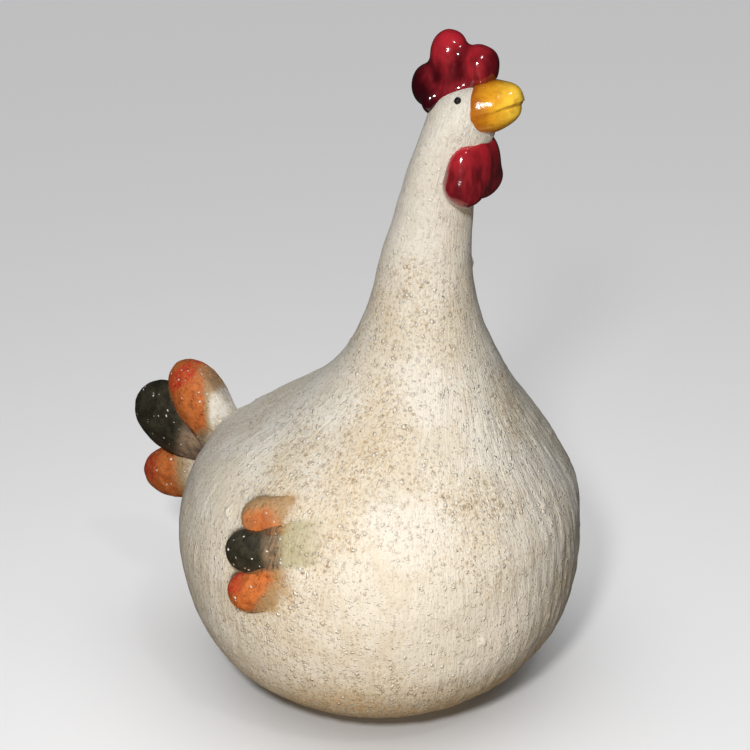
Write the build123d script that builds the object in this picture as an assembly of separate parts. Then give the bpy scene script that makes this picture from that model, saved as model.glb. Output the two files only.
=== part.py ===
from build123d import *
import math
import os

# A standing hen in fired clay. Millimetres, +Z up, the hen faces -Y and its left side is +X.
# The origin is the centre of the flat foot.

# Body, neck and head: oval sections from the foot to the crown.
# height of the section's centre, how far forward it is, half its length, lean back in degrees
BODY_SECTIONS = [
    (0, 0, 34, 0),
    (4, 0, 41, 0),
    (11, 0, 50, 0),
    (22, 0, 57.5, 0),
    (37, 0.5, 61.5, 0),
    (52, 1, 62, 0),
    (67, 2.5, 58, 0),
    (80, 5, 48.5, 0),
    (93, 12.5, 33.5, 0),
    (106, 17, 22.5, 0),
    (120, 18.8, 16, 0),
    (135, 20.3, 12.9, 3),
    (150, 23.4, 11, 8),
    (162, 27.1, 11.1, 15),
    (169.5, 30.2, 11.5, 20),
    (175.5, 31.6, 10.5, 22),
    (179.6, 31.2, 7.8, 22),
    (182.2, 31, 2.8, 22),
]
BODY_NARROWING = 0.95      # half-width over half-length at the belly
NECK_START = 60            # height where the sections start to turn round
NECK_ROUND = 100           # height where they are round

# Hollow inside the body: height, how far forward, half-length, lean back
HOLLOW_SECTIONS = [
    (5, 0, 34, 0),
    (11, 0, 43, 0),
    (22, 0, 51.6, 0),
    (37, 0.5, 56.8, 0),
    (52, 1, 57.3, 0),
    (67, 2.5, 52.6, 0),
    (80, 6, 41.5, 0),
    (93, 12.5, 26.5, 0),
    (106, 17, 16.8, 0),
    (120, 18.8, 11.2, 0),
    (135, 20.3, 8.3, 3),
    (150, 23.4, 6.6, 8),
    (162, 27.3, 6.3, 15),
    (171, 30.6, 5.2, 20),
]
VENT_DIAMETER = 11         # hole through the foot that lets the kiln air out
VENT_BEHIND_CENTRE = 16

# Feathers are petals with a rounded end. The wing's run out thin into the body at the root.
# place along the petal, width there over the full width, the same for the thickness
TAIL_PETAL = [
    (0, 0.76, 0.76),
    (0.2, 0.85, 0.85),
    (0.4, 0.94, 0.94),
    (0.6, 1, 1),
    (0.74, 0.95, 0.95),
    (0.86, 0.78, 0.78),
    (0.94, 0.54, 0.54),
    (0.98, 0.32, 0.32),
    (1, 0.1, 0.1),
]
WING_PETAL = [
    (0, 0.8, 0.5),
    (0.2, 0.93, 0.7),
    (0.4, 1, 0.86),
    (0.6, 1, 0.96),
    (0.76, 0.95, 1),
    (0.88, 0.79, 0.86),
    (0.95, 0.56, 0.62),
    (0.985, 0.33, 0.38),
    (1, 0.12, 0.14),
]

# name, root, tip, half-width, half-thickness. Points are (forward, out to the side, height).
WING_FEATHERS = [
    ("middle", (13, 50.8, 68), (-15.5, 55, 62.7), 6.8, 4.6),
    ("upper", (8, 47, 75.6), (-12, 51, 71.5), 5.8, 4.6),
    ("lower", (8.5, 54.9, 57.6), (-13.5, 57.8, 51.8), 6.4, 4.8),
]
# name, root, tip, half-width in the fan, half-thickness across it
TAIL_FEATHERS = [
    ("upper", (-52, 0, 60), (-70.5, 0, 90), 9.6, 8),
    ("middle", (-49, 0, 63), (-90.6, 0, 72.2), 13, 6.8),
    ("lower", (-52, 0, 54.5), (-90.4, 0, 45.4), 9.4, 6.2),
]

# Comb: balls merged into one piece. forward, height, radius along it, radius across, radius up
COMB_LOBES = [
    (23.9, 181.7, 5.7, 5.2, 5.9),
    (26, 178.7, 4.4, 7.7, 4.5),
    (28.9, 189.2, 5, 4.7, 6.9),
    (37, 186.6, 5.1, 5, 5.7),
    (30.5, 180.5, 9, 6.6, 4.6),
    (30.4, 184.6, 6, 4.6, 5.4),
]

# Beak: sections along a line that rises forward, split in two along the mouth.
BEAK_START = (36, 175.9)
BEAK_RISE = 13             # degrees
# distance along the line, half-width, half-height
BEAK_SECTIONS = [
    (-2, 8.2, 6.2),
    (0, 8.6, 6.8),
    (4, 7.8, 6.9),
    (8, 6, 6),
    (10.8, 4.2, 4.8),
    (12.6, 2.4, 3.5),
    (13.2, 1, 2.1),
]
MOUTH_BELOW_AXIS = 0.9
LOWER_BEAK_SETBACK = 1.2

# Wattles: each is three balls: one towards the side, one by the middle and a wide one low down.
# forward, side, height, radius across, radius fore and aft, radius up
WATTLE_BALLS = [
    (35.1, 5.3, 161, 5.8, 4.8, 8.3),
    (36.4, 2.6, 161.9, 4.6, 4.6, 8.1),
    (34.9, 5.2, 157.4, 6.8, 5.4, 5.6),
]

EYE_CENTRE = (34.7, 7.9, 179.2)
EYE_RADII = (1, 1.08, 1.22)        # across, fore and aft, up


def point(forward, side, height):
    """A point given the way the hen sees it."""
    return Vector(side, -forward, height)


def roundness(height):
    """Half-width over half-length of the body section at this height."""
    step = (height - NECK_START) / (NECK_ROUND - NECK_START)
    return BODY_NARROWING + (1 - BODY_NARROWING) * min(max(step, 0), 1)


def oval_loft(sections):
    """A smooth solid through oval sections."""
    with BuildPart() as form:
        for height, forward, half_length, lean in sections:
            normal = (0, math.sin(math.radians(lean)), math.cos(math.radians(lean)))
            centre = point(forward, 0, height)
            with BuildSketch(Plane(origin=centre, x_dir=(1, 0, 0), z_dir=normal)):
                Ellipse(half_length * roundness(height), half_length)
        loft()
    return form.part


def ball(centre, radii):
    """An ellipsoid, with radii along x, y and z."""
    return Pos(*centre) * scale(Sphere(1), by=radii)


def petal(stations, root, tip, half_width, half_thickness, across):
    """A feather from root to tip. across is the direction of its thickness."""
    axis = tip - root
    with BuildPart() as form:
        for place, width, thickness in stations:
            centre = root + axis * place
            with BuildSketch(Plane(origin=centre, x_dir=across, z_dir=axis)):
                Ellipse(half_thickness * thickness, half_width * width)
        loft()
    return form.part


def beak_half(side_of_mouth, setback):
    """The beak above (+1) or below (-1) the mouth, drawn back by the setback."""
    rise = math.radians(BEAK_RISE)
    start = point(BEAK_START[0] - setback, 0, BEAK_START[1])
    axis = Vector(0, -math.cos(rise), math.sin(rise))
    with BuildPart() as form:
        for along, half_width, half_height in BEAK_SECTIONS:
            with BuildSketch(Plane(origin=start + axis * along, x_dir=(1, 0, 0), z_dir=axis)):
                Ellipse(half_width, half_height)
        loft()
    up = (0, math.sin(rise), math.cos(rise))
    mouth = Plane(origin=point(BEAK_START[0], 0, BEAK_START[1]), x_dir=(1, 0, 0), z_dir=up)
    keep = mouth * Pos(0, 0, side_of_mouth * 10 - MOUTH_BELOW_AXIS) * Box(40, 40, 20)
    return form.part & keep


def only_solid(shape):
    """The largest solid of a shape, so that no sliver of a cut is kept."""
    return max(shape.solids(), key=lambda solid: solid.volume)


def both_sides(name, shape):
    """The piece on the hen's left side and its mirror image on the right side."""
    return {name.format("left"): shape, name.format("right"): mirror(shape, about=Plane.YZ)}


outer = oval_loft(BODY_SECTIONS)
hollow = oval_loft(HOLLOW_SECTIONS)
vent = Pos(0, VENT_BEHIND_CENTRE, 0) * Cylinder(VENT_DIAMETER / 2, 24)
pieces = {"body_shell": only_solid(outer - hollow - vent)}

# Beak: the two halves meet at the mouth behind the notch.
upper_beak = beak_half(1, 0)
lower_beak = beak_half(-1, LOWER_BEAK_SETBACK)
pieces["beak_upper"] = only_solid(upper_beak - outer)
pieces["beak_lower"] = only_solid(lower_beak - outer)

# Comb: it sits on the crown and stops at the beak.
comb_balls = [
    ball(point(forward, 0, height), (across, along, up))
    for forward, height, along, across, up in COMB_LOBES
]
comb = comb_balls[0].fuse(*comb_balls[1:])
pieces["comb"] = only_solid(comb - outer - upper_beak)

# Wattles: the pair meets on the middle plane.
wattle_balls = [
    ball(point(forward, side, height), (across, along, up))
    for forward, side, height, across, along, up in WATTLE_BALLS
]
wattle = wattle_balls[0].fuse(*wattle_balls[1:]) - outer - lower_beak
left_side = Pos(50, 0, 100) * Box(100, 400, 400)
pieces.update(both_sides("wattle_{}", only_solid(wattle & left_side)))

eye = ball(point(*EYE_CENTRE), EYE_RADII) - outer
pieces.update(both_sides("eye_{}", only_solid(eye)))

# Feathers: each one stops at the body and at the feathers that are already in place.
placed = outer
for name, root, tip, half_width, half_thickness in WING_FEATHERS:
    form = petal(WING_PETAL, point(*root), point(*tip), half_width, half_thickness, Vector(1, 0, 0.3))
    feather = only_solid(form - placed)
    placed = placed + form
    pieces.update(both_sides("wing_feather_{}_" + name, feather))

placed = outer
for name, root, tip, half_width, half_thickness in TAIL_FEATHERS:
    form = petal(TAIL_PETAL, point(*root), point(*tip), half_width, half_thickness, Vector(1, 0, 0))
    pieces["tail_feather_" + name] = only_solid(form - placed)
    placed = placed + form

os.makedirs("parts", exist_ok=True)
for name, piece in pieces.items():
    piece.label = name
    export_step(piece, "parts/" + name + ".step")
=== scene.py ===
import math

import bmesh
import bpy
import numpy as np
from mathutils import Matrix, Vector
from mathutils.bvhtree import BVHTree
from mathutils.kdtree import KDTree


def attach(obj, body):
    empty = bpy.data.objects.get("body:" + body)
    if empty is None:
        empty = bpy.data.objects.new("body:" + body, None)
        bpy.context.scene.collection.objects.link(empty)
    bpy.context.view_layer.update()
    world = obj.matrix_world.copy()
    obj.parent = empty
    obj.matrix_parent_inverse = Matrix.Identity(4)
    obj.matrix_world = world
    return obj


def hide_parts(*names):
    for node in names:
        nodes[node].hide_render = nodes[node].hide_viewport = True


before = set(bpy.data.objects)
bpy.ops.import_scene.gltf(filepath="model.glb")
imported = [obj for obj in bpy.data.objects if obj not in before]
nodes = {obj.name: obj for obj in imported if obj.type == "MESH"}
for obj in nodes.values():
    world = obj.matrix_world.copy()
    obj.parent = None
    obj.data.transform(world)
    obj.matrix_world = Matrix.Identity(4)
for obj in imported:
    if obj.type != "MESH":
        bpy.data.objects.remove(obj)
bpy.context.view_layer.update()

# A standing hen in fired clay. Metres, in the CAD's frame: the hen faces -Y, its left side is +X.
MM = 0.001
# How deep a piece's root is sunk into the body, and how near the body it counts as touching.
ROOT = 1.3 * MM
DEEP_ROOT = 2.2 * MM
EYE_ROOT = 0.5 * MM
TOUCHING = 0.04 * MM
rng = np.random.default_rng(11)
pieces = {}


# ---- Mesh helpers ----

def points_of(mesh):
    flat = np.empty(len(mesh.vertices) * 3, np.float32)
    mesh.vertices.foreach_get("co", flat)
    return flat.reshape(-1, 3).astype(float)


def normals_of(mesh):
    flat = np.empty(len(mesh.vertices) * 3, np.float32)
    mesh.vertex_normals.foreach_get("vector", flat)
    return flat.reshape(-1, 3).astype(float)


def edges_of(mesh):
    flat = np.empty(len(mesh.edges) * 2, np.int32)
    mesh.edges.foreach_get("vertices", flat)
    return flat.reshape(-1, 2)


def set_points(mesh, co):
    mesh.vertices.foreach_set("co", co.astype(np.float32).ravel())
    mesh.update()


def set_float(mesh, name, values):
    layer = mesh.attributes.get(name) or mesh.attributes.new(name, "FLOAT", "POINT")
    layer.data.foreach_set("value", np.asarray(values, np.float32))


def set_vector(mesh, name, values):
    layer = mesh.attributes.get(name) or mesh.attributes.new(name, "FLOAT_VECTOR", "POINT")
    layer.data.foreach_set("vector", np.asarray(values, np.float32).ravel())


def smooth_step(values, low, high):
    """0 up to low, 1 from high, and a smooth rise between them."""
    t = np.clip((values - low) / (high - low), 0, 1)
    return t * t * (3 - 2 * t)


class Neighbours:
    """Averages over a mesh's edges."""

    def __init__(self, mesh):
        edges = edges_of(mesh)
        self.point = np.concatenate([edges[:, 0], edges[:, 1]])
        self.neighbour = np.concatenate([edges[:, 1], edges[:, 0]])
        self.count = len(mesh.vertices)
        self.valence = np.maximum(np.bincount(self.point, minlength=self.count), 1)

    def mean(self, values):
        if values.ndim == 1:
            return np.bincount(self.point, values[self.neighbour], self.count) / self.valence
        return np.stack([self.mean(values[:, k]) for k in range(values.shape[1])], 1)

    def blurred(self, values, times):
        for _ in range(times):
            values = 0.5 * values + 0.5 * self.mean(values)
        return values


def cad_copy(node):
    """A welded copy of a CAD node's mesh, with no material."""
    mesh = nodes[node].data.copy()
    mesh.materials.clear()
    work = bmesh.new()
    work.from_mesh(mesh)
    bmesh.ops.remove_doubles(work, verts=work.verts, dist=0.002 * MM)
    work.to_mesh(mesh)
    work.free()
    return mesh


def new_object(name, mesh):
    obj = bpy.data.objects.new(name, mesh)
    bpy.context.scene.collection.objects.link(obj)
    return obj


def adopt(obj, node):
    """Makes an object the visual piece of a CAD node."""
    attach(obj, "root")
    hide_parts(node)
    pieces[node] = obj
    return obj


def smooth_shading(mesh):
    mesh.polygons.foreach_set("use_smooth", [True] * len(mesh.polygons))
    mesh.update()


def evaluated(obj):
    """Applies an object's modifiers."""
    graph = bpy.context.evaluated_depsgraph_get()
    mesh = bpy.data.meshes.new_from_object(obj.evaluated_get(graph))
    obj.modifiers.clear()
    obj.data = mesh
    return obj


def remeshed(name, mesh, voxel):
    """A new object with a closed mesh of even faces."""
    obj = new_object(name, mesh)
    modifier = obj.modifiers.new("voxel", "REMESH")
    modifier.mode = "VOXEL"
    modifier.voxel_size = voxel
    return evaluated(obj)


def tree_of(mesh):
    work = bmesh.new()
    work.from_mesh(mesh)
    tree = BVHTree.FromBMesh(work)
    work.free()
    return tree


def nearest(tree, co):
    """For each point: the nearest surface point, the surface's normal there, the signed height above it."""
    found = [tree.find_nearest(Vector(p)) for p in co]
    foot = np.array([f[0] for f in found])
    normal = np.array([f[1] for f in found])
    return foot, normal, ((co - foot) * normal).sum(1)


def spot(co, place, radius):
    """1 at a place and fading over a radius, both in millimetres."""
    away = np.linalg.norm(co - np.array(place) * MM, axis=1) / (radius * MM)
    return np.exp(-away ** 2)


def waves(co, size, count=14, seed=1):
    """A smooth random field of about unit spread, whose features are about size across."""
    own = np.random.default_rng(seed)
    direction = own.normal(size=(count, 3))
    direction /= np.linalg.norm(direction, axis=1)[:, None]
    pitch = size * own.uniform(0.7, 1.6, count)
    phase = own.uniform(0, 2 * math.pi, count)
    total = np.zeros(len(co))
    for k in range(count):
        total += np.sin(co @ direction[k] * (2 * math.pi / pitch[k]) + phase[k])
    return total / math.sqrt(count / 2)


def round_off(mesh, times):
    """Smooths a mesh, so that its edges and small bumps go."""
    near = Neighbours(mesh)
    co = points_of(mesh)
    for _ in range(times):
        co = co + 0.5 * (near.mean(co) - co)
    set_points(mesh, co)


def hollows(mesh, times):
    """Positive in creases and negative on crests, in millimetres."""
    near = Neighbours(mesh)
    co = points_of(mesh)
    normal = normals_of(mesh)
    return ((near.blurred(co, times) - co) * normal).sum(1) / MM


# ---- Camera ----

EYE_POINT = Vector((-0.2846, -0.1667, 0.233))
TURN = math.radians(-60)
PITCH = math.radians(-22.5)
ROLL = math.radians(2.77)
ahead = Vector((math.cos(PITCH) * -math.sin(TURN), math.cos(PITCH) * math.cos(TURN), math.sin(PITCH)))
right = ahead.cross(Vector((0, 0, 1))).normalized()
above = right.cross(ahead)
tilted_up = above * math.cos(ROLL) + right * math.sin(ROLL)
tilted_right = right * math.cos(ROLL) - above * math.sin(ROLL)

camera_data = bpy.data.cameras.new("camera")
camera_data.sensor_width = 36
camera_data.lens = 58.08
camera_data.clip_start = 0.01
camera = bpy.data.objects.new("camera", camera_data)
bpy.context.scene.collection.objects.link(camera)
camera.matrix_world = Matrix((
    (tilted_right.x, tilted_up.x, -ahead.x, EYE_POINT.x),
    (tilted_right.y, tilted_up.y, -ahead.y, EYE_POINT.y),
    (tilted_right.z, tilted_up.z, -ahead.z, EYE_POINT.z),
    (0, 0, 0, 1),
))
bpy.context.scene.camera = camera


# ---- Body ----

WINGS = [f"wing_feather_{side}_{row}" for side in ("left", "right") for row in ("upper", "middle", "lower")]
TAILS = [f"tail_feather_{row}" for row in ("upper", "middle", "lower")]

# How far the brush coordinates go in a radian round the body, and in a millimetre up it.
BRUSH_ROUND = 14
BRUSH_UP = 0.04

# Heights on the body.
FOOT_FLAT = 0.6 * MM
FOOT_EDGE = 2.5 * MM
HOLLOW_FLOOR = 8 * MM
CROWN = 176 * MM

body_cad = cad_copy("body_shell")
body_tree = tree_of(body_cad)
feather_trees = {name: tree_of(cad_copy(name)) for name in WINGS + TAILS}

body = remeshed("clay_body", body_cad.copy(), voxel=0.8 * MM)
round_off(body.data, times=1)
co = points_of(body.data)

# The body's centre line: the middle of its length at each of many levels, averaged over a few of them.
LEVELS = 93
RING_HALF = 2 * MM
WINDOW = 7
heights = np.linspace(0, co[:, 2].max(), LEVELS)
middle = []
half_length = []
for height in heights:
    ring = co[np.abs(co[:, 2] - height) < RING_HALF]
    middle.append((ring[:, 1].min() + ring[:, 1].max()) / 2)
    half_length.append((ring[:, 1].max() - ring[:, 1].min()) / 2)
middle = np.convolve(np.pad(middle, WINDOW // 2, mode="edge"), np.ones(WINDOW) / WINDOW, mode="valid")
# The way from the foot up the outside of the body to each height.
climb = np.concatenate([[0], np.cumsum(np.hypot(np.diff(heights), np.diff(half_length)))])


def centre_y(height):
    return np.interp(height, heights, middle)


def outwards(co):
    """For each point: the level direction away from the centre line."""
    out = np.stack([co[:, 0], co[:, 1] - centre_y(co[:, 2]), np.zeros(len(co))], 1)
    return out / np.maximum(np.linalg.norm(out, axis=1), 1e-9)[:, None]


def brush_coordinates(co):
    """Coordinates in which a brush stroke up the body is long and thin."""
    out = outwards(co) * BRUSH_ROUND
    up = np.interp(co[:, 2], heights, climb) / MM * BRUSH_UP
    return np.stack([out[:, 0], out[:, 1], up], 1)


def outer_skin(co, normal):
    """Which of the body's vertices are on its outside."""
    outside = (normal * outwards(co)).sum(1) > 0
    # The foot faces down and the crown faces up; the floor and roof of the hollow face the other way.
    outside |= (co[:, 2] < FOOT_EDGE) & (normal[:, 2] < -0.2)
    outside |= (co[:, 2] > CROWN) & (normal[:, 2] > 0)
    return outside & ~((co[:, 2] < HOLLOW_FLOOR) & (normal[:, 2] > 0.5))


# The hollow isn't seen, so it keeps only a tenth of its faces.
inside = ~outer_skin(points_of(body.data), normals_of(body.data))
group = body.vertex_groups.new(name="inside")
group.add([int(i) for i in np.nonzero(inside)[0]], 1.0, "REPLACE")
thin = body.modifiers.new("thin", "DECIMATE")
thin.vertex_group = "inside"
thin.ratio = 1 - 0.9 * inside.mean()
evaluated(body)
body.vertex_groups.clear()


# ---- Feathers ----

class Feather:
    """A feather's place: an axis from its root on the body to its tip, and how wide it is."""

    def __init__(self, name):
        co = points_of(cad_copy(name))
        foot, normal, height = nearest(body_tree, co)
        self.name = name
        self.side = -1 if "right" in name else 1 if "left" in name else 0
        if self.side:
            rear = co[:, 1] > np.quantile(co[:, 1], 0.97)
            front = co[:, 1] < np.quantile(co[:, 1], 0.03)
            self.tip = co[rear].mean(0)
            self.root = co[front].mean(0)
        else:
            self.root = co[height < 0.05 * MM].mean(0)
            self.tip = co[np.argsort(height)[-20:]].mean(0)
            self.root[0] = self.tip[0] = 0
        self.length = np.linalg.norm(self.tip - self.root)
        self.axis = (self.tip - self.root) / self.length
        self.out = np.array([self.side, 0, 0.15]) if self.side else np.array([1.0, 0, 0])
        self.out -= self.axis * (self.out @ self.axis)
        self.out /= np.linalg.norm(self.out)
        self.across = np.cross(self.axis, self.out)
        if self.across[2] < 0:
            self.across = -self.across
        off = (co - self.root) @ self.across
        self.half_width = (off.max() - off.min()) / 2
        self.offset = (off.max() + off.min()) / 2

    def gap(self, co):
        """Distance to the feather's surface, or a whole metre where that is far off."""
        near = np.linalg.norm(co - (self.root + self.tip) / 2, axis=1) < self.length / 2 + 14 * MM
        out = np.full(len(co), 1.0)
        for index in np.nonzero(near)[0]:
            out[index] = feather_trees[self.name].find_nearest(Vector(co[index]))[3]
        return out

    def place(self, co):
        """Along the feather, 0 at the root and 1 at the tip, and across it, -1 to 1 from its lower edge."""
        rel = co - self.root
        return rel @ self.axis / self.length, (rel @ self.across - self.offset) / self.half_width


feathers = {name: Feather(name) for name in WINGS + TAILS}

PAINTS = ("orange", "ochre", "red", "dark", "brown", "green")


def paint_masks(name, along, across):
    """How strongly each paint covers a point of this feather. Along is 0 at the root and 1 at the tip."""
    cover = {paint: np.zeros(len(along)) for paint in PAINTS}
    row = name.split("_")[-1]
    if name.startswith("wing"):
        if row == "middle":
            cover["dark"] = smooth_step(along, 0.17, 0.54)
            cover["brown"] = smooth_step(along, -0.1, 0.35)
            cover["green"] = 0.9 * smooth_step(along, -0.8, 0.1)
            cover["green"] *= 1 - smooth_step(np.abs(across), 0.6, 1.1)
        elif row == "upper":
            cover["ochre"] = smooth_step(along + 0.12 * across, -0.25, 0.42)
            cover["orange"] = 0.7 * smooth_step(along, 0.05, 0.5) * (1 - 0.6 * smooth_step(across, 0.0, 0.8))
            cover["orange"] *= 1 - 0.4 * smooth_step(along, 0.65, 1)
        else:
            slant = along + 0.22 * across
            cover["ochre"] = smooth_step(slant, -0.22, 0.4)
            cover["orange"] = smooth_step(slant, 0.1, 0.62) * (1 - 0.4 * smooth_step(-across, 0.65, 1))
            cover["red"] = 0.9 * smooth_step(along, 0.45, 0.8) * smooth_step(across, -0.6, 0.4)
    elif row == "middle":
        cover["dark"] = smooth_step(along, 0.15, 0.55)
        cover["brown"] = smooth_step(along, -0.3, 0.3)
    elif row == "upper":
        edge = 0.1 + 0.36 * smooth_step(across, 0.05, 0.95)
        cover["ochre"] = smooth_step(along - edge, -0.12, 0.14)
        cover["orange"] = smooth_step(along - edge, -0.02, 0.22) * (1 - 0.65 * smooth_step(across, 0.6, 1.0))
        cover["brown"] = 0.55 * (1 - smooth_step(along, 0.1, 0.42)) * (1 - smooth_step(across, -0.2, 0.5))
        # Darker brown along the feather's top edge.
        cover["brown"] = np.maximum(cover["brown"], 0.5 * smooth_step(across, 0.75, 1.0))
        band = smooth_step(along, 0.62, 0.8) * (1 - smooth_step(along, 0.88, 1.0))
        cover["red"] = 0.9 * band * (1 - smooth_step(np.abs(across - 0.2), 0.35, 0.9))
    else:
        cover["ochre"] = 0.9 * smooth_step(along, 0.0, 0.42)
        cover["orange"] = smooth_step(along, 0.22, 0.58)
        cover["red"] = 0.8 * smooth_step(along, 0.45, 0.8) * smooth_step(across, -0.8, 0.2)
    return cover


def set_paint(mesh, cover, **others):
    for label, values in {**cover, **others}.items():
        set_float(mesh, label, np.clip(values, 0, 1))
    set_vector(mesh, "brush", brush_coordinates(points_of(mesh)))


# ---- Body surface ----

# Grit under the paint: how many, the smallest and the largest radius in millimetres, and the height
# of each over its radius.
GRIT = (
    (90, 0.75, 1.0, 0.3),
    (12, 1.1, 1.5, 0.42),
    (50, 0.8, 1.2, -0.25),
)


def brush_strokes(co):
    """Strokes in the thick paint, running up the body. They are deepest on the left of the chest."""
    radial = outwards(co)
    chest_left = smooth_step(radial @ np.array([0.5, -0.87, 0]), 0.2, 0.9)
    chest_right = smooth_step(radial @ np.array([-0.87, -0.5, 0]), 0.55, 0.95)
    girth = np.hypot(co[:, 0], co[:, 1] - centre_y(co[:, 2]))
    stroke_height = (0.045 + 0.05 * chest_left) * (1 - 0.4 * chest_right)
    stroke_height *= smooth_step(girth, 18 * MM, 36 * MM)
    return stroke_height * MM * waves(brush_coordinates(co), 0.62, count=60, seed=5)


def chin_bulge(co):
    """The chin stands out a little under the beak."""
    chin = np.linalg.norm((co - np.array([0, -37, 169.5]) * MM) / np.array([7, 4, 4]), axis=1) / MM
    return 1.3 * MM * (1 - smooth_step(chin, 0, 1.3))


def pressed_clay(co, gaps):
    """Clay pressed up round the feathers. The gaps are the distances to each of them."""
    tail_gap = np.min([gaps[name] for name in TAILS], 0)
    lift = 1.5 * MM * (1 - smooth_step(tail_gap, 0, 7 * MM))
    # The front halves of the wing feathers run into each other.
    for name in WINGS:
        if "middle" in name:
            front = 1 - smooth_step(feathers[name].place(co)[0], 0.3, 0.65)
            for row in ("upper", "lower"):
                seam = np.maximum(gaps[name], gaps[name.replace("middle", row)])
                lift += 1.1 * MM * front * (1 - smooth_step(seam, 0.3 * MM, 2.6 * MM))
    return lift


def grit_lumps(co, skin):
    """Raised lumps of many sizes, and fewer pits."""
    lift = np.zeros(len(co))
    finder = KDTree(len(co))
    for index, point in enumerate(co):
        finder.insert(point, index)
    finder.balance()
    skin_index = np.nonzero(skin & (co[:, 2] > 3 * MM))[0]
    for count, smallest, largest, rise in GRIT:
        for index in rng.choice(skin_index, count, replace=False):
            radius = rng.uniform(smallest, largest) * MM
            height = rise * radius * rng.uniform(0.6, 1.1)
            for _, other, distance in finder.find_range(Vector(co[index]), radius):
                if skin[other]:
                    lift[other] += height * (1 - (distance / radius) ** 2)
    return lift


co = points_of(body.data)
normal = normals_of(body.data)
skin = outer_skin(co, normal) & (co[:, 2] >= FOOT_FLAT)
gaps = {name: feather.gap(co) for name, feather in feathers.items()}
lift = 0.16 * MM * waves(co, 26 * MM, seed=3) + 0.05 * MM * waves(co, 7 * MM, seed=4)
lift += brush_strokes(co)
lift += chin_bulge(co)
lift += pressed_clay(co, gaps)
lift += grit_lumps(co, skin)
settle = smooth_step(co[:, 2], 0.5 * MM, 4 * MM)
set_points(body.data, co + normal * (lift * skin * settle)[:, None])


# ---- Paint on the body ----

# Soft tan stains, and places that are wiped clean: place and radius in millimetres, strength.
STAINS = (
    ((-12, -18, 136), 7, 0.5),
    ((-13, -14, 126), 8, 0.5),
    ((-17, -7, 111), 9, 0.45),
    ((-24, -19, 104), 8, 0.35),
    ((-27, -26, 97), 9, 0.35),
    ((-34, -26, 89), 11, 0.4),
    ((-40, -15, 87), 12, 0.4),
    ((-50, -19, 72), 12, 0.5),
    ((2, -44, 95), 10, 0.75),
    ((-31, -41, 81), 8, 0.5),
    ((-28, -49, 73), 11, 0.4),
    ((-44, 2, 82), 9, 0.55),
    ((-51, -18, 21), 18, 0.5),
    ((-24, 31, 83), 16, 0.3),
    ((-4, -33, 131), 10, 0.3),
    ((20, 48, 70), 18, 0.4),
    ((46, -28, 66), 16, 0.4),
    ((40, 30, 40), 18, 0.35),
    ((26, -12, 100), 12, 0.45),
    ((8, 4, 112), 10, 0.45),
)
CLEAN = (
    ((-42, -43, 56), 30, 0.03),
    ((-20, -35, 104), 9, 0.3),
    ((-12, -38, 174), 16, 0.3),
    ((-12, -30, 152), 14, 0.35),
    ((-10, -30, 132), 8, 0.3),
    ((-40, 30, 66), 20, 0.25),
)


def feather_paint(co, gaps):
    """The feathers' paint, which runs on over the body, the brown wash and painted shade in the creases
    round them, and the tan beyond.
    """
    feather_gap = np.min(list(gaps.values()), 0)
    cover = {paint: np.zeros(len(co)) for paint in PAINTS}
    crease = np.zeros(len(co))
    halo = np.zeros(len(co))
    for name in WINGS + TAILS:
        feather = feathers[name]
        along, across = feather.place(co)
        if feather.side:
            # The paint on the body runs up to the next feather.
            next_side = {"lower": across > 0, "upper": across < 0, "middle": across > 0}[name.split("_")[-1]]
            across = np.where(next_side, across * 0.6, across)
        # It fades out beside the feather and towards its tip.
        depth = np.abs((co - feather.root) @ feather.out)
        depth_limit = 14 * MM if feather.side else 9 * MM
        reach = (1 - smooth_step(np.abs(across), 0.6, 1.1)) * (1 - smooth_step(along, 0.25, 0.8))
        reach *= (depth < depth_limit) * (feather_gap < 11 * MM)
        for paint, part in paint_masks(name, along, across).items():
            np.maximum(cover[paint], part * reach, out=cover[paint])
        # Brown wash and painted shade in the crease at the feather's rear, and in the seams between
        # feathers.
        close = np.exp(-gaps[name] / (0.8 * MM))
        rear = smooth_step(along, 0.2, 0.7) if feather.side else 1.0
        np.maximum(crease, close * rear, out=crease)
        if feather.side and "middle" not in name:
            middle_name = name.replace("upper", "middle").replace("lower", "middle")
            seam = np.exp(-np.maximum(gaps[name], gaps[middle_name]) / (0.7 * MM))
            np.maximum(crease, 0.9 * seam * smooth_step(along, -0.1, 0.2), out=crease)
        np.maximum(halo, np.exp(-gaps[name] / (3.5 * MM)), out=halo)
    return cover, crease, halo


def stains(co):
    """Tan stains, and tan that deepens towards the foot."""
    stain = 0.08 + 0.12 * waves(co, 34 * MM, seed=8) + 0.07 * waves(co, 13 * MM, seed=9)
    for place, radius, strength in STAINS:
        stain += 0.8 * strength * spot(co, place, radius)
    for place, radius, strength in CLEAN:
        stain -= strength * spot(co, place, radius)
    return stain + 1.4 * (1 - smooth_step(co[:, 2], 3 * MM, 34 * MM))


co = points_of(body.data)
cover, crease, halo = feather_paint(co, gaps)
stain = stains(co) + 0.55 * halo
# The belly and the head are smoother than the rest.
head = smooth_step(co[:, 2], 128 * MM, 150 * MM)
grit = (1 - 0.4 * spot(co, (-42, -43, 52), 34)) * (1 - 0.5 * head)
set_paint(body.data, cover, wash=crease * skin, stain=stain * skin, grit=grit, bare=1.0 * ~skin)
smooth_shading(body.data)
adopt(body, "body_shell")


# ---- Pieces set on the body ----

def rooted_copy(node, depth=ROOT):
    """A CAD node's mesh whose face against the body is sunk into it, so that no gap shows."""
    mesh = cad_copy(node)
    co = points_of(mesh)
    foot, normal, height = nearest(body_tree, co)
    touching = height < TOUCHING
    co[touching] -= normal[touching] * depth
    set_points(mesh, co)
    return mesh


def add_piece(node, name, voxel, depth=ROOT):
    """A CAD node's piece with an even mesh, sunk into the body."""
    piece = remeshed(name, rooted_copy(node, depth), voxel)
    round_off(piece.data, times=3)
    return adopt(piece, node)


def inflate(mesh, thickness):
    """Moves a surface outwards, or inwards if the thickness is negative."""
    set_points(mesh, points_of(mesh) + normals_of(mesh) * thickness)


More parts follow.
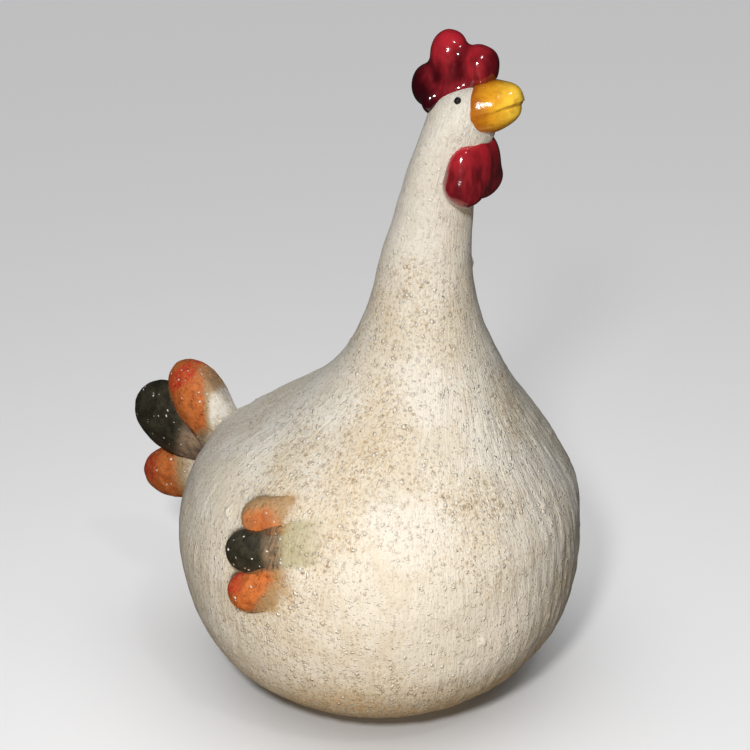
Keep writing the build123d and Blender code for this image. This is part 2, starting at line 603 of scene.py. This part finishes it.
def joined(meshes):
    """Several meshes in one."""
    work = bmesh.new()
    for mesh in meshes:
        work.from_mesh(mesh)
    result = bpy.data.meshes.new("joined")
    work.to_mesh(result)
    work.free()
    return result


def cut_piece(source, node, name, place, direction):
    """The part of a mesh that lies along the direction from a plane, closed by a flat face."""
    work = bmesh.new()
    work.from_mesh(source)
    geometry = work.verts[:] + work.edges[:] + work.faces[:]
    cut = bmesh.ops.bisect_plane(work, geom=geometry, plane_co=place, plane_no=direction, clear_inner=True)
    rim = [item for item in cut["geom_cut"] if isinstance(item, bmesh.types.BMEdge)]
    for edge in rim:
        edge.smooth = False
    bmesh.ops.triangle_fill(work, use_beauty=True, use_dissolve=False, edges=rim)
    bmesh.ops.recalc_face_normals(work, faces=work.faces[:])
    mesh = bpy.data.meshes.new(name)
    work.to_mesh(mesh)
    work.free()
    return adopt(new_object(name, mesh), node)


def glaze_data(mesh, hollow):
    """Stores what the glaze needs: how much shade is painted at each point, and where it is in the piece, 0
    to 1.
    """
    co = points_of(mesh)
    set_float(mesh, "hollow", np.clip(hollow, 0, 1))
    low, high = co.min(0), co.max(0)
    set_vector(mesh, "within", (co - low) / (high - low))
    smooth_shading(mesh)


def glaze_waves(mesh):
    """Makes a glazed surface slightly uneven."""
    co = points_of(mesh)
    set_points(mesh, co + normals_of(mesh) * (0.08 * MM * waves(co, 6 * MM, seed=21))[:, None])


def soft_mass(mesh, voxel, fill, rounding):
    """A mesh merged into one form, with its creases filled to the radius fill and its edges rounded."""
    # The rounding takes about this much off.
    shrinkage = 0.15 * MM
    swollen = remeshed("swollen", mesh, voxel)
    round_off(swollen.data, times=4)
    inflate(swollen.data, fill)
    merged = remeshed("merged", swollen.data, voxel)
    round_off(merged.data, times=24)
    inflate(merged.data, shrinkage - fill)
    round_off(merged.data, rounding)
    result = merged.data
    bpy.data.objects.remove(swollen)
    bpy.data.objects.remove(merged)
    return result


# ---- Feathers, comb, wattles, beak and eyes ----

def make_feather(feather):
    """A slightly uneven feather. A wing feather's front end is smoothed down into the body."""
    name = feather.name
    piece = add_piece(name, name + "_clay", voxel=0.38 * MM)
    mesh = piece.data
    co = points_of(mesh)
    normal = normals_of(mesh)
    seed = sum(ord(letter) for letter in name)
    uneven = 0.1 * MM * waves(co, 9 * MM, seed=seed) + 0.04 * MM * waves(co, 3 * MM, seed=seed + 1)
    co += normal * uneven[:, None]
    foot, ground, height = nearest(body_tree, co)
    along, across = feather.place(co)
    if feather.side:
        slant = along + (0.3 * across if "lower" in name else 0)
        pressed = height * smooth_step(slant, 0.02, 0.5) - 0.3 * MM * (1 - smooth_step(slant, 0.08, 0.2))
        co = np.where((height > 0)[:, None], foot + ground * pressed[:, None], co)
    set_points(mesh, co)
    beside = [other for other in feathers.values()
              if other is not feather and other.side == feather.side]
    between = np.max([np.exp(-other.gap(co) / (0.45 * MM)) for other in beside], 0)
    # Brown wash and painted shade where the feather's rear edge meets the body, and between feathers.
    rear = smooth_step(along, 0.3, 0.75) if feather.side else 1.0
    wash = 0.6 * rear * np.exp(-np.maximum(height, 0) / (0.6 * MM))
    wash = np.maximum(wash, 0.95 * between * smooth_step(along, -0.1, 0.15))
    stain = 0.25 + 0.7 * (1 - smooth_step(along, 0.05, 0.5)) if name in TAILS else np.full(len(co), 0.4)
    if name == "tail_feather_upper":
        stain -= 0.7 * smooth_step(across, 0.1, 0.5) * smooth_step(along, 0.05, 0.3)
    set_paint(mesh, paint_masks(name, along, across), wash=wash, stain=stain, grit=np.full(len(co), 0.6),
              bare=np.zeros(len(co)))
    smooth_shading(mesh)


def make_comb():
    """One soft mass, with painted shade in its creases, at the rear and at the front edge."""
    comb_mesh = soft_mass(rooted_copy("comb", DEEP_ROOT), voxel=0.3 * MM, fill=1.1 * MM, rounding=12)
    comb = adopt(new_object("comb_glazed", comb_mesh), "comb")
    glaze_waves(comb.data)
    depth = hollows(comb.data, times=60)
    depth = (depth - np.median(depth)) / (np.quantile(depth, 0.98) - np.median(depth))
    depth = Neighbours(comb.data).blurred(depth, times=40)
    co = points_of(comb.data)
    back = (co[:, 1] - co[:, 1].min()) / np.ptp(co[:, 1])
    up = (co[:, 2] - co[:, 2].min()) / np.ptp(co[:, 2])
    rear_shade = smooth_step(back - 0.8 * up, 0.0, 0.6)
    front_shade = 0.7 * smooth_step(0.2 - back, 0.0, 0.18)
    # Shade is painted into the glaze here: in the creases, on the lower rear and along the front edge.
    glaze_data(comb.data, np.maximum(0.22 + 0.62 * depth, np.maximum(rear_shade, front_shade)))


def make_wattles():
    """One soft form, cut on the middle plane. The halves overlap, so that they merge."""
    left_half = rooted_copy("wattle_left", DEEP_ROOT)
    right_half = rooted_copy("wattle_right", DEEP_ROOT)
    for mesh, side in ((left_half, 1), (right_half, -1)):
        co = points_of(mesh)
        inner = np.abs(co[:, 0]) < 0.02 * MM
        co[inner, 0] -= side * 0.7 * MM
        set_points(mesh, co)
    pair_mesh = soft_mass(joined([left_half, right_half]), voxel=0.28 * MM, fill=2.2 * MM, rounding=16)
    pair = new_object("pair", pair_mesh)
    glaze_waves(pair.data)
    # The cleft between the lobes is only a shallow crease.
    co = points_of(pair.data)
    co[:, 1] -= 0.3 * MM * np.exp(-(co[:, 0] / (2.4 * MM)) ** 2) * smooth_step(-co[:, 1], 34 * MM, 38 * MM)
    set_points(pair.data, co)
    round_off(pair.data, times=8)
    for side, node in ((1, "wattle_left"), (-1, "wattle_right")):
        piece = cut_piece(pair.data, node, node + "_glazed", (0, 0, 0), (side, 0, 0))
        co = points_of(piece.data)
        reach = np.abs(co[:, 0]) / np.abs(co[:, 0]).max()
        # Shade is painted in the crease between the halves and towards each half's outer side.
        low_edge = 0.55 * smooth_step(reach, 0.75, 1.0)
        glaze_data(piece.data, np.maximum(0.4 * np.exp(-(co[:, 0] / (0.8 * MM)) ** 2), low_edge))
    bpy.data.objects.remove(pair)


def make_beak():
    """One soft form too, cut at the mouth and pressed in there."""
    upper = rooted_copy("beak_upper")
    lower = rooted_copy("beak_lower")
    lower_co = points_of(lower)
    # The halves meet on the mouth's plane. Their faces there overlap, so that the halves merge.
    gap_between = nearest(tree_of(cad_copy("beak_upper")), lower_co)[2]
    touching = np.abs(gap_between) < 0.01 * MM
    mouth = lower_co[touching].mean(0)
    mouth_up = np.linalg.svd(lower_co[touching] - mouth)[2][2]
    mouth_up *= np.sign(mouth_up[2])
    lower_co[touching] += mouth_up * 0.6 * MM
    # The lower half's root is drawn back round the head, in line with the upper half's.
    rearward = 1 - smooth_step(-lower_co[:, 1], 36 * MM, 44 * MM)
    lower_co[:, 0] *= 1 + 0.12 * rearward
    lower_co[:, 1] += 1.2 * MM * rearward
    set_points(lower, lower_co)
    pair = remeshed("pair", joined([upper, lower]), voxel=0.22 * MM)
    round_off(pair.data, times=26)
    inflate(pair.data, 0.12 * MM)
    glaze_waves(pair.data)
    co = points_of(pair.data)

    def mouth_strength(co):
        """1 in the mouth line, which fades out towards the cheek."""
        off = (co - mouth) @ mouth_up
        return np.exp(-(off / (0.42 * MM)) ** 2) * smooth_step(-co[:, 1], 43 * MM, 47 * MM)

    set_points(pair.data, co - normals_of(pair.data) * (0.5 * MM * mouth_strength(co))[:, None])
    for side, node in ((1, "beak_upper"), (-1, "beak_lower")):
        piece = cut_piece(pair.data, node, node + "_glazed", mouth, mouth_up * side)
        # The mouth line is painted darker, as shade in its groove.
        glaze_data(piece.data, mouth_strength(points_of(piece.data)))
    bpy.data.objects.remove(pair)


for feather in feathers.values():
    make_feather(feather)
make_comb()
make_wattles()
make_beak()
for node in ("eye_left", "eye_right"):
    smooth_shading(add_piece(node, node + "_dot", voxel=0.08 * MM, depth=EYE_ROOT).data)


# ---- Materials ----

class Graph:
    """The nodes of a material or a world, written as expressions."""

    def __init__(self, owner):
        owner.use_nodes = True
        self.tree = owner.node_tree

    def make(self, kind, inputs=None, output=0, **settings):
        node = self.tree.nodes.new(kind)
        for key, value in settings.items():
            setattr(node, key, value)
        for key, value in (inputs or {}).items():
            if isinstance(value, bpy.types.NodeSocket):
                self.tree.links.new(value, node.inputs[key])
            else:
                node.inputs[key].default_value = value
        return node.outputs[output]

    def scaled(self, vector, factors):
        return self.make("ShaderNodeVectorMath", {0: vector, 1: factors}, operation="MULTIPLY")

    def attribute(self, name, output="Fac"):
        return self.make("ShaderNodeAttribute", output=output, attribute_name=name)

    def math(self, operation, a, b=0.0, clamp=False):
        return self.make("ShaderNodeMath", {0: a, 1: b}, operation=operation, use_clamp=clamp)

    def add(self, a, b):
        return self.math("ADD", a, b)

    def times(self, a, b):
        return self.math("MULTIPLY", a, b)

    def around_half(self, value, weight):
        """A noise turned into a change up or down."""
        return self.times(self.math("SUBTRACT", value, 0.5), weight)

    def step(self, value, low, high, to_low=0.0, to_high=1.0):
        """A smooth rise or fall while the value goes from low to high."""
        inputs = {"Value": value, "From Min": low, "From Max": high, "To Min": to_low, "To Max": to_high}
        return self.make("ShaderNodeMapRange", inputs, interpolation_type="SMOOTHSTEP")

    def mix(self, share, a, b):
        """From colour a to colour b. Each is a socket, or its red, green and blue."""
        colours = [end if isinstance(end, bpy.types.NodeSocket) else (*end, 1) for end in (a, b)]
        inputs = {0: share, 6: colours[0], 7: colours[1]}
        return self.make("ShaderNodeMix", inputs, output=2, data_type="RGBA")

    def noise(self, vector, scale, detail=3.0, roughness=0.55):
        inputs = {"Vector": vector, "Scale": scale, "Detail": detail, "Roughness": roughness}
        return self.make("ShaderNodeTexNoise", inputs)


class Look(Graph):
    """A material. Lengths in it are millimetres."""

    def __init__(self, name):
        self.material = bpy.data.materials.new(name)
        super().__init__(self.material)
        self.shader = self.tree.nodes["Principled BSDF"]
        place = self.make("ShaderNodeTexCoord", output="Object")
        self.place = self.scaled(place, (1000, 1000, 1000))

    def crumpled(self):
        """The place, shifted about so that round things come out uneven."""
        inputs = {"Vector": self.place, "Scale": 0.8, "Detail": 2.0}
        shift = self.scaled(self.make("ShaderNodeTexNoise", inputs, output=1), (1.4, 1.4, 1.4))
        return self.make("ShaderNodeVectorMath", {0: self.place, 1: shift}, operation="ADD")

    def dots(self, vector, scale, share, small, large):
        """Domes in a share of the cells, which are 1 / scale across. Their radii are in cell widths."""
        cell = self.make("ShaderNodeTexVoronoi", {"Vector": vector, "Scale": scale}).node
        chances = self.make("ShaderNodeSeparateColor", {0: cell.outputs["Color"]}).node
        radius = self.step(chances.outputs[1], 0, 1, small, large)
        reach = self.math("DIVIDE", cell.outputs["Distance"], radius)
        dome = self.math("SUBTRACT", 1.0, self.times(reach, reach), clamp=True)
        return self.times(dome, self.math("LESS_THAN", chances.outputs[0], share))

    def finish(self, colour, roughness, height, coat=0.0, specular=0.5):
        sockets = self.shader.inputs
        self.tree.links.new(colour, sockets["Base Color"])
        self.tree.links.new(roughness, sockets["Roughness"])
        sockets["Coat Weight"].default_value = coat
        sockets["Coat Roughness"].default_value = 0.05
        sockets["Specular IOR Level"].default_value = specular
        bump = self.make("ShaderNodeBump", {"Height": height, "Distance": MM, "Strength": 1.0})
        self.tree.links.new(bump, sockets["Normal"])
        return self.material


# Colours of the painted clay, as linear red, green and blue.
CREAM = (0.81, 0.76, 0.655)
PALE_CREAM = (0.88, 0.855, 0.785)
TAN = (0.73, 0.635, 0.475)
RUST = (0.69, 0.45, 0.20)
PALE_STROKE = (0.90, 0.86, 0.77)
DARK_STROKE = (0.52, 0.41, 0.27)
GRIME_AND_SHADE = (0.40, 0.28, 0.15)
COARSE_GRIT_GLINT = (0.98, 0.97, 0.94)
FINE_GRIT_GLINT = (0.96, 0.95, 0.91)
PIT = (0.16, 0.09, 0.04)
PAINTED_GLINT = (0.98, 0.97, 0.93)
GREEN = (0.47, 0.445, 0.275)
RED = (0.58, 0.045, 0.022)
FLECK = (0.13, 0.05, 0.02)
WASH_AND_SHADE = (0.11, 0.055, 0.022)

# Two-tone colours: the darker tone and the lighter one.
OCHRES = ((0.35, 0.185, 0.05), (0.50, 0.29, 0.10))
ORANGES = ((0.48, 0.11, 0.018), (0.72, 0.20, 0.042))
BROWNS = ((0.085, 0.043, 0.025), (0.31, 0.19, 0.105))
DARKS = ((0.022, 0.020, 0.012), (0.050, 0.045, 0.028))
TERRACOTTAS = ((0.36, 0.16, 0.085), (0.5, 0.27, 0.16))


class PaintedClay(Look):
    """Gritty clay brushed with cream over tan, with painted feathers, painted glints and a bare foot."""

    def __init__(self):
        super().__init__("painted_clay")
        brush = self.attribute("brush", "Vector")
        self.streak = self.noise(brush, 1.5, 5, 0.65)
        self.hair = self.noise(brush, 6.0, 3, 0.6)
        self.mottle = self.noise(self.place, 0.3, 5, 0.65)
        self.patch = self.noise(self.place, 0.07, 3, 0.5)
        uneven = self.add(self.around_half(self.mottle, 0.6), self.around_half(self.streak, 0.45))
        self.stain = self.add(self.attribute("stain"), uneven)
        self.ragged = self.add(self.around_half(self.mottle, 0.5), self.around_half(self.streak, 0.35))
        self.bare = self.step(self.add(self.attribute("bare"), self.times(self.ragged, 0.4)), 0.4, 0.6)

        # Grit lumps, painted shade and grime about them, pits, and dots painted white as glints
        crumpled = self.crumpled()
        grit = self.attribute("grit")
        gritty = self.step(self.add(self.patch, self.around_half(self.mottle, 0.5)), 0.3, 0.6, 0.6, 1)
        gritty = self.times(gritty, grit)
        coarse = self.dots(crumpled, scale=0.55, share=0.9, small=0.13, large=0.3)
        self.coarse = self.times(coarse, gritty)
        fine = self.dots(crumpled, scale=1.1, share=0.75, small=0.2, large=0.44)
        self.fine = self.times(fine, gritty)
        about = self.dots(crumpled, scale=0.55, share=0.9, small=0.28, large=0.58)
        self.about = self.math("SUBTRACT", about, self.times(self.coarse, 1.3), clamp=True)
        self.pits = self.dots(crumpled, scale=0.42, share=0.2, small=0.06, large=0.14)
        glint_dots = self.dots(crumpled, scale=0.5, share=0.55, small=0.11, large=0.22)
        self.glint_dots = self.times(glint_dots, grit)

    def cream(self):
        """Cream over tan: wiped clean in some places, stained in others, with faint strokes."""
        smooth = self.math("SUBTRACT", 1.0, self.attribute("grit"))
        pale = self.add(self.add(self.patch, self.times(smooth, 0.3)), self.around_half(self.streak, 0.5))
        colour = self.mix(self.step(pale, 0.4, 0.62), CREAM, PALE_CREAM)
        rubbed = self.step(self.noise(self.place, 1.25, 4, 0.75), 0.42, 0.6, -0.3, 0.3)
        worn = self.add(self.stain, self.times(rubbed, self.step(self.stain, 0.0, 0.5, 0.15, 1)))
        colour = self.mix(self.step(worn, 0.05, 0.8, 0, 0.65), colour, TAN)
        colour = self.mix(self.step(worn, 0.75, 1.35, 0, 0.85), colour, RUST)
        colour = self.mix(self.step(self.hair, 0.54, 0.72, 0, 0.4), colour, PALE_STROKE)
        return self.mix(self.step(self.hair, 0.44, 0.26, 0, 0.3), colour, DARK_STROKE)

    def with_grit(self, colour):
        """Grit lumps stand through the paint, with brown grime and painted shade round them."""
        speck = self.step(self.noise(self.place, 1.3, 4, 0.75), 0.53, 0.64)
        # Painted shade: a brown ring round each lump, mixed with brown specks of grime.
        grime_and_shade = self.times(self.about, self.step(self.mottle, 0.4, 0.6, 0.2, 0.9))
        grime_and_shade = self.add(grime_and_shade, self.times(speck, 0.8))
        grime_and_shade = self.times(grime_and_shade, self.step(self.stain, -0.1, 0.5, 0.15, 0.95))
        colour = self.mix(grime_and_shade, colour, GRIME_AND_SHADE)
        # The lumps' tops are painted near-white as glints.
        colour = self.mix(self.step(self.coarse, 0.12, 0.42), colour, COARSE_GRIT_GLINT)
        return self.mix(self.step(self.fine, 0.5, 0.9, 0, 0.6), colour, FINE_GRIT_GLINT)

    def cover(self, paint, low, high, most=1.0):
        """Where a feather paint lies, with a ragged edge."""
        return self.times(self.step(self.add(self.attribute(paint), self.ragged), low, high), most)

    def with_feather_paints(self, colour):
        """The feathers' paints, one over the other, with a dark brown wash and painted shade in the creases.
        """
        tone = self.step(self.mottle, 0.35, 0.65)
        streaky = self.step(self.add(self.mottle, self.around_half(self.hair, 0.8)), 0.4, 0.66)
        broken = self.step(self.noise(self.place, 0.7, 4, 0.7), 0.4, 0.58, 0.35, 0.95)
        colour = self.mix(self.cover("green", 0.1, 0.9, 0.8), colour, GREEN)
        colour = self.mix(self.cover("ochre", 0.15, 0.85, 0.85), colour, self.mix(self.mottle, *OCHRES))
        colour = self.mix(self.cover("orange", 0.15, 0.8, 0.94), colour, self.mix(tone, *ORANGES))
        colour = self.mix(self.times(self.cover("red", 0.3, 0.85), broken), colour, RED)
        flecked = self.add(self.attribute("orange"), self.times(self.attribute("ochre"), 0.6))
        fleck = self.step(self.noise(self.place, 0.95, 4, 0.75), 0.54, 0.64)
        fleck = self.times(fleck, self.step(flecked, 0.2, 0.9))
        colour = self.mix(self.times(fleck, 0.5), colour, FLECK)
        colour = self.mix(self.cover("brown", 0.2, 0.75, 0.85), colour, self.mix(streaky, *BROWNS))
        colour = self.mix(self.cover("dark", 0.2, 0.75), colour, self.mix(tone, *DARKS))
        # A dark brown wash and painted shade in the creases.
        return self.mix(self.step(self.attribute("wash"), 0.2, 0.95, 0, 0.85), colour, WASH_AND_SHADE)

    def relief(self):
        """The height of the surface in millimetres."""
        grain = self.noise(self.place, 1.8, 3, 0.6)
        height = self.add(self.times(self.hair, 0.22), self.times(self.streak, 0.26))
        height = self.add(height, self.add(self.times(grain, 0.1), self.times(self.mottle, 0.16)))
        height = self.add(height, self.add(self.times(self.coarse, 0.55), self.times(self.fine, 0.26)))
        return self.add(height, self.add(self.times(self.pits, -0.3), self.times(self.glint_dots, 0.45)))

    def roughness(self):
        """Grit and the glint dots are shinier than the paint, and bare clay is duller."""
        rough = self.step(self.add(self.mottle, self.bare), 0.3, 0.9, 0.58, 0.75)
        shine = self.step(self.add(self.coarse, self.fine), 0.05, 0.5, 0, 0.48)
        return self.times(self.math("SUBTRACT", rough, shine), self.step(self.glint_dots, 0.05, 0.3, 1, 0.3))


def painted_clay():
    g = PaintedClay()
    colour = g.with_feather_paints(g.with_grit(g.cream()))
    colour = g.mix(g.step(g.pits, 0.1, 0.7, 0, 0.75), colour, PIT)
    # Dots painted near-white as glints.
    colour = g.mix(g.step(g.glint_dots, 0.05, 0.3), colour, PAINTED_GLINT)
    colour = g.mix(g.bare, colour, g.mix(g.mottle, *TERRACOTTAS))
    return g.finish(colour, g.roughness(), g.relief(), specular=0.4)


def red_glaze():
    g = Look("red_glaze")
    streak = g.noise(g.scaled(g.place, (1.0, 1.0, 0.35)), 0.7, 3, 0.5)
    pool = g.noise(g.place, 0.2, 2, 0.5)
    up = g.make("ShaderNodeSeparateXYZ", {0: g.attribute("within", "Vector")}, output=2)
    body_red = g.mix(g.step(streak, 0.35, 0.7), (0.17, 0.010, 0.016), (0.31, 0.018, 0.027))
    # Light painted on: the red is lighter towards the top of each piece, broken by random patches.
    painted_top_light = g.step(g.add(up, g.around_half(pool, 0.6)), 0.55, 0.95)
    colour = g.mix(painted_top_light, body_red, (0.45, 0.018, 0.032))
    hollow = g.add(g.attribute("hollow"), g.around_half(pool, 0.35))
    # Shade painted near-black: in the creases, on the comb's lower rear and front edge, and on the wattles'
    # middle crease and outer sides.
    colour = g.mix(g.step(hollow, 0.3, 0.95), colour, (0.035, 0.001, 0.004))
    height = g.add(g.times(g.noise(g.place, 0.5, 2), 0.14), g.times(streak, 0.03))
    roughness = g.step(pool, 0.3, 0.7, 0.12, 0.22)
    return g.finish(colour, roughness, height, coat=0.8)


def amber_glaze():
    g = Look("amber_glaze")
    streak = g.noise(g.scaled(g.place, (1.0, 0.35, 1.0)), 0.45, 4, 0.6)
    pool = g.noise(g.place, 0.3, 3, 0.5)
    back = g.make("ShaderNodeSeparateXYZ", {0: g.attribute("within", "Vector")}, output=1)
    tone = g.add(back, g.around_half(pool, 0.7))
    colour = g.mix(g.step(tone, 0.05, 0.5), (0.98, 0.65, 0.065), (0.77, 0.36, 0.02))
    colour = g.mix(g.step(tone, 0.4, 0.9), colour, (0.40, 0.115, 0.008))
    colour = g.mix(g.times(g.step(streak, 0.52, 0.68), 0.45), colour, (0.42, 0.14, 0.012))
    # The mouth line is painted darker brown, as shade in its groove.
    colour = g.mix(g.times(g.step(g.attribute("hollow"), 0.6, 0.9), 0.6), colour, (0.28, 0.09, 0.012))
    height = g.add(g.times(g.noise(g.place, 0.6, 2), 0.14), g.times(streak, 0.05))
    roughness = g.step(pool, 0.3, 0.7, 0.12, 0.22)
    return g.finish(colour, roughness, height, coat=0.8)


def black_enamel():
    g = Look("black_enamel")
    speck = g.noise(g.place, 3.0, 2)
    colour = g.mix(speck, (0.004, 0.004, 0.004), (0.012, 0.010, 0.010))
    roughness = g.step(speck, 0.3, 0.7, 0.5, 0.6)
    return g.finish(colour, roughness, g.times(speck, 0.05), specular=0.3)


LOOKS = (
    (painted_clay, ["body_shell"] + WINGS + TAILS),
    (red_glaze, ["comb", "wattle_left", "wattle_right"]),
    (amber_glaze, ["beak_upper", "beak_lower"]),
    (black_enamel, ["eye_left", "eye_right"]),
)
for make_look, named in LOOKS:
    look = make_look()
    for name in named:
        pieces[name].data.materials.append(look)


# ---- Floor and light ----

FLOOR_REACH = 40
floor_mesh = bpy.data.meshes.new("floor")
corners = [(x * FLOOR_REACH, y * FLOOR_REACH, 0) for x, y in ((-1, -1), (1, -1), (1, 1), (-1, 1))]
floor_mesh.from_pydata(corners, [], [(0, 1, 2, 3)])
floor = new_object("floor", floor_mesh)
floor_look = bpy.data.materials.new("pale_floor")
floor_look.use_nodes = True
floor_inputs = floor_look.node_tree.nodes["Principled BSDF"].inputs
floor_inputs["Base Color"].default_value = (0.72, 0.72, 0.73, 1)
floor_inputs["Roughness"].default_value = 0.9
floor_mesh.materials.append(floor_look)

# The hen's surroundings are the dim world, so that the floor can be pale and the hen's flanks dark.
floor.visible_diffuse = False
floor.visible_glossy = False

# The world looks pale, but lights the hen dimly, and is dimmer still in its glaze.
WORLD_LIGHT = 0.1
WORLD_SEEN = 0.42
WORLD_IN_GLAZE = -0.085
world = bpy.data.worlds.new("studio")
studio = Graph(world)
rays = studio.make("ShaderNodeLightPath").node
strength = studio.add(studio.times(rays.outputs["Is Camera Ray"], WORLD_SEEN), WORLD_LIGHT)
strength = studio.add(studio.times(rays.outputs["Is Glossy Ray"], WORLD_IN_GLAZE), strength)
sky = studio.tree.nodes["Background"]
sky.inputs["Color"].default_value = (1, 0.985, 0.97, 1)
studio.tree.links.new(strength, sky.inputs["Strength"])
bpy.context.scene.world = world
bpy.context.scene.view_settings.view_transform = "Standard"


def lamp(name, place, target, energy, width=None, lit=None, colour=(1, 1, 1)):
    """A round lamp, or a soft sun if it has no width. It lights only the objects in lit, or everything."""
    data = bpy.data.lights.new(name, "AREA" if width else "SUN")
    if width:
        data.shape = "DISK"
        data.size = width
    else:
        data.angle = math.radians(80)
    data.energy = energy
    data.color = colour
    obj = new_object(name, data)
    obj.location = place
    obj.rotation_euler = (Vector(target) - Vector(place)).to_track_quat("-Z", "Y").to_euler()
    if lit:
        # A lamp for some objects only is a fill, and gives them no highlight.
        obj.visible_glossy = False
        group = bpy.data.collections.new(name)
        for item in lit:
            group.objects.link(item)
        obj.light_linking.receiver_collection = group


hen = list(pieces.values())
hen_middle = Vector((0, 0, 0.09))
hen_top = hen_middle * 2
hen_low = hen_middle * 0.35
level = Vector((ahead.x, ahead.y, 0)).normalized()

# The key light is a small lamp just above and left of the camera.
key_place = EYE_POINT - right * 0.055 + above * 0.085 - ahead * 0.03
lamp("key", key_place, hen_middle, energy=1.05, width=0.05, colour=(0.985, 0.97, 0.945))

# A small lamp on the ceiling, for the highlights on top of the comb.
rise = math.radians(49)
ceiling_way = (right * 0.5 - level * 0.87) * math.cos(rise) + Vector((0, 0, math.sin(rise)))
lamp("ceiling", hen_top + ceiling_way * 0.6, hen_top, energy=0.3, width=0.05)

# A warm glow from the table in front, and a soft light for the far side, which the key doesn't reach.
glow_place = hen_middle * 0.3 - level * 0.32 - right * 0.04
lamp("glow", glow_place, hen_low, energy=0.53, width=0.2, lit=hen, colour=(1, 0.8, 0.56))
back_place = hen_middle + level * 0.6 + Vector((0, 0, 0.15))
lamp("back_light", back_place, hen_middle, energy=2.0, width=0.7, lit=hen, colour=(1, 0.97, 0.93))

lamp("floor_light", (0, 0, 2), (0, 0, 0), energy=2.1, lit=[floor])
